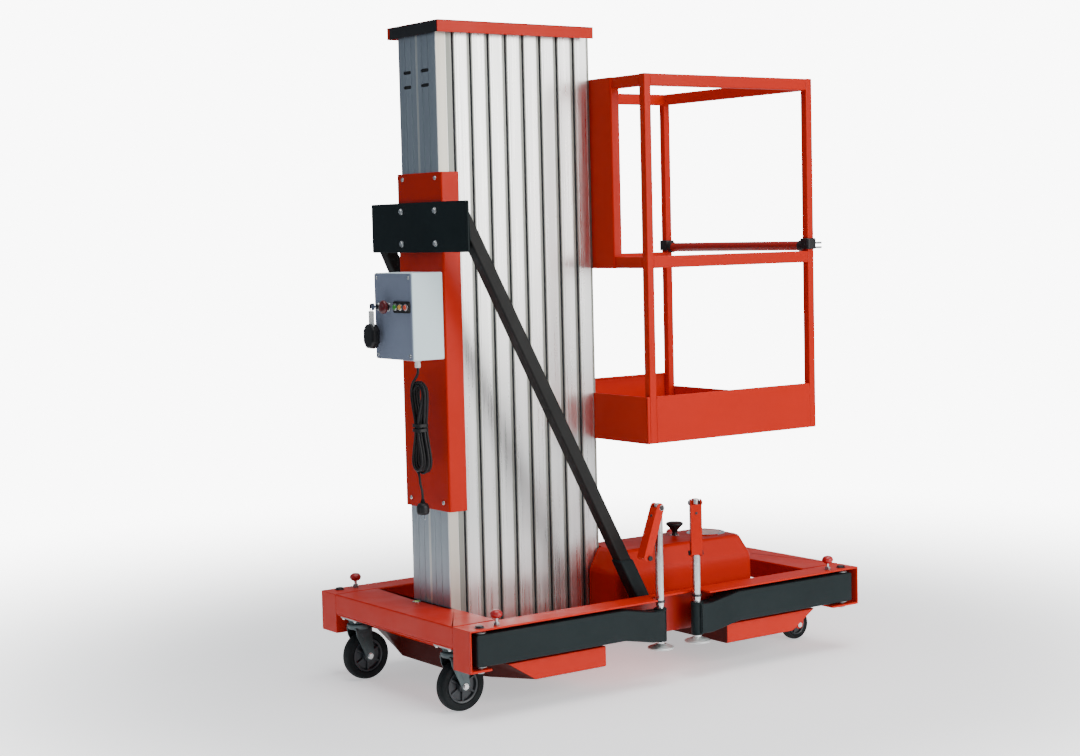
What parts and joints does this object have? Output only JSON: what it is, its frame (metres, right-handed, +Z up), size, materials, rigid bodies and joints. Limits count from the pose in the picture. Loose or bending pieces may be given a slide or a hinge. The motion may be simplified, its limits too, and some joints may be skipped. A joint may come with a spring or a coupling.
{
  "type": "single-mast aerial work platform",
  "caption": "Push-around vertical lift: nested aluminium mast on a wheeled base with swing-out screw-jack outriggers, railed platform and rear control box.",
  "frame": {"origin": "middle of the footprint, on the floor", "axes": "+X from the mast towards the platform's entry, +Y to the left, +Z up the mast"},
  "size_m": [1.5154, 0.866, 1.98],
  "materials": {
    "red_paint": "gloss baked enamel, orange in grazing light",
    "slate_paint": "satin dark blue-green paint",
    "box_paint": "fine textured pale grey powder coat",
    "mast_aluminium": "drawn, clear anodised, vertical grain",
    "zinc_steel": "bright zinc plate",
    "fork_steel": "dull zinc, shaded",
    "unit_steel": "black enamel, hidden under the hood",
    "black_plastic": "moulded black, fine grain",
    "stop_red": "glossy moulded red",
    "wheel_rubber": "black rubber tyre on a dark rim",
    "cord_rubber": "matt black cord jacket"
  },
  "bodies": {
    "chassis": {"side_rail_left": "red_paint", "side_rail_right": "red_paint", "rear_beam": "red_paint", "front_beam": "red_paint", "floor_plate": "red_paint", "belly_tray_rear": "red_paint", "belly_tray_front": "red_paint", "mast_profile_fixed": "mast_aluminium", "mast_rear_cover": "red_paint", "clamp_plate": "slate_paint", "mast_strut_left": "slate_paint", "mast_strut_right": "slate_paint", "control_box": "box_paint", "button_strip": "black_plastic", "stop_button": "stop_red", "key_switch": "black_plastic", "cord_hank": "cord_rubber", "cord_plug": "black_plastic", "power_unit": "unit_steel", "power_unit_hood": "red_paint", "hood_wing_right": "red_paint", "hood_wing_left": "red_paint", "hood_knob": "black_plastic", "outrigger_housing_left_rear": "red_paint", "outrigger_housing_left_front": "red_paint", "outrigger_housing_right_rear": "red_paint", "outrigger_housing_right_front": "red_paint"},
    "stage_1": {"mast_stage_1": "mast_aluminium"},
    "stage_2": {"mast_stage_2": "mast_aluminium"},
    "stage_3": {"mast_stage_3": "mast_aluminium"},
    "stage_4": {"mast_stage_4": "mast_aluminium"},
    "stage_5": {"mast_stage_5": "mast_aluminium"},
    "stage_6": {"mast_stage_6": "mast_aluminium"},
    "stage_7": {"mast_stage_7": "mast_aluminium"},
    "stage_8": {"mast_stage_8": "mast_aluminium", "mast_top_cap": "red_paint", "platform_floor_tray": "red_paint", "platform_frame_left": "red_paint", "platform_frame_right": "red_paint", "platform_front_rail": "red_paint", "platform_back_plate": "red_paint"},
    "entry_gate": {"entry_gate_bar": "red_paint"},
    "outrigger_left_rear": {"outrigger_arm_left_rear": "slate_paint"},
    "jack_left_rear": {"jack_screw_left_rear": "zinc_steel", "jack_handle_left_rear": "red_paint"},
    "outrigger_left_front": {"outrigger_arm_left_front": "slate_paint"},
    "jack_left_front": {"jack_screw_left_front": "zinc_steel", "jack_handle_left_front": "red_paint"},
    "caster_rear_left": {"caster_fork_rear_left": "fork_steel"},
    "rear_wheel_left": {"wheel_rear_left": "wheel_rubber"},
    "front_wheel_left": {"wheel_front_left": "wheel_rubber"},
    "outrigger_right_rear": {"outrigger_arm_right_rear": "slate_paint"},
    "jack_right_rear": {"jack_screw_right_rear": "zinc_steel", "jack_handle_right_rear": "red_paint"},
    "outrigger_right_front": {"outrigger_arm_right_front": "slate_paint"},
    "jack_right_front": {"jack_screw_right_front": "zinc_steel", "jack_handle_right_front": "red_paint"},
    "caster_rear_right": {"caster_fork_rear_right": "fork_steel"},
    "rear_wheel_right": {"wheel_rear_right": "wheel_rubber"},
    "front_wheel_right": {"wheel_front_right": "wheel_rubber"}
  },
  "joints": [
    {"name": "mast_stage_1", "type": "slide", "parent": "chassis", "child": "stage_1", "axis": [0, 0, 1], "range_m": [0, 1.16]},
    {"name": "mast_stage_2", "type": "slide", "parent": "stage_1", "child": "stage_2", "axis": [0, 0, 1], "range_m": [0, 1.16]},
    {"name": "mast_stage_3", "type": "slide", "parent": "stage_2", "child": "stage_3", "axis": [0, 0, 1], "range_m": [0, 1.16]},
    {"name": "mast_stage_4", "type": "slide", "parent": "stage_3", "child": "stage_4", "axis": [0, 0, 1], "range_m": [0, 1.16]},
    {"name": "mast_stage_5", "type": "slide", "parent": "stage_4", "child": "stage_5", "axis": [0, 0, 1], "range_m": [0, 1.16]},
    {"name": "mast_stage_6", "type": "slide", "parent": "stage_5", "child": "stage_6", "axis": [0, 0, 1], "range_m": [0, 1.16]},
    {"name": "mast_stage_7", "type": "slide", "parent": "stage_6", "child": "stage_7", "axis": [0, 0, 1], "range_m": [0, 1.16]},
    {"name": "mast_stage_8", "type": "slide", "parent": "stage_7", "child": "stage_8", "axis": [0, 0, 1], "range_m": [0, 1.16]},
    {"name": "entry_gate_lift", "type": "slide", "parent": "stage_8", "child": "entry_gate", "axis": [0, 0, 1], "range_m": [0, 0.45]},
    {"name": "outrigger_swing_left_rear", "type": "hinge", "parent": "chassis", "child": "outrigger_left_rear", "pos_m": [-0.69575, 0.393, 0.2], "axis": [0, 0, 1], "range_deg": [0, 90]},
    {"name": "jack_left_rear", "type": "slide", "parent": "outrigger_left_rear", "child": "jack_left_rear", "axis": [0, 0, 1], "range_m": [-0.11, 0]},
    {"name": "outrigger_swing_left_front", "type": "hinge", "parent": "chassis", "child": "outrigger_left_front", "pos_m": [0.70775, 0.393, 0.2], "axis": [0, 0, -1], "range_deg": [0, 90]},
    {"name": "jack_left_front", "type": "slide", "parent": "outrigger_left_front", "child": "jack_left_front", "axis": [0, 0, 1], "range_m": [-0.11, 0]},
    {"name": "outrigger_swing_right_rear", "type": "hinge", "parent": "chassis", "child": "outrigger_right_rear", "pos_m": [-0.69575, -0.393, 0.2], "axis": [0, 0, -1], "range_deg": [0, 90]},
    {"name": "jack_right_rear", "type": "slide", "parent": "outrigger_right_rear", "child": "jack_right_rear", "axis": [0, 0, 1], "range_m": [-0.11, 0]},
    {"name": "outrigger_swing_right_front", "type": "hinge", "parent": "chassis", "child": "outrigger_right_front", "pos_m": [0.70775, -0.393, 0.2], "axis": [0, 0, 1], "range_deg": [0, 90]},
    {"name": "jack_right_front", "type": "slide", "parent": "outrigger_right_front", "child": "jack_right_front", "axis": [0, 0, 1], "range_m": [-0.11, 0]},
    {"name": "caster_swivel_left", "type": "hinge", "parent": "chassis", "child": "caster_rear_left", "pos_m": [-0.70375, 0.266, 0.18], "axis": [0, 0, 1], "continuous": true},
    {"name": "rear_wheel_spin_left", "type": "hinge", "parent": "caster_rear_left", "child": "rear_wheel_left", "pos_m": [-0.68275, 0.266, 0.075], "axis": [0, 1, 0], "continuous": true},
    {"name": "front_wheel_spin_left", "type": "hinge", "parent": "chassis", "child": "front_wheel_left", "pos_m": [0.68925, 0.19, 0.05], "axis": [0, 1, 0], "continuous": true},
    {"name": "caster_swivel_right", "type": "hinge", "parent": "chassis", "child": "caster_rear_right", "pos_m": [-0.70375, -0.266, 0.18], "axis": [0, 0, 1], "continuous": true},
    {"name": "rear_wheel_spin_right", "type": "hinge", "parent": "caster_rear_right", "child": "rear_wheel_right", "pos_m": [-0.68275, -0.266, 0.075], "axis": [0, 1, 0], "continuous": true},
    {"name": "front_wheel_spin_right", "type": "hinge", "parent": "chassis", "child": "front_wheel_right", "pos_m": [0.68925, -0.19, 0.05], "axis": [0, 1, 0], "continuous": true}
  ],
  "couplings": [
    {"joint": "mast_stage_2", "follows": "mast_stage_1", "ratio": 1},
    {"joint": "mast_stage_3", "follows": "mast_stage_1", "ratio": 1},
    {"joint": "mast_stage_4", "follows": "mast_stage_1", "ratio": 1},
    {"joint": "mast_stage_5", "follows": "mast_stage_1", "ratio": 1},
    {"joint": "mast_stage_6", "follows": "mast_stage_1", "ratio": 1},
    {"joint": "mast_stage_7", "follows": "mast_stage_1", "ratio": 1},
    {"joint": "mast_stage_8", "follows": "mast_stage_1", "ratio": 1}
  ]
}
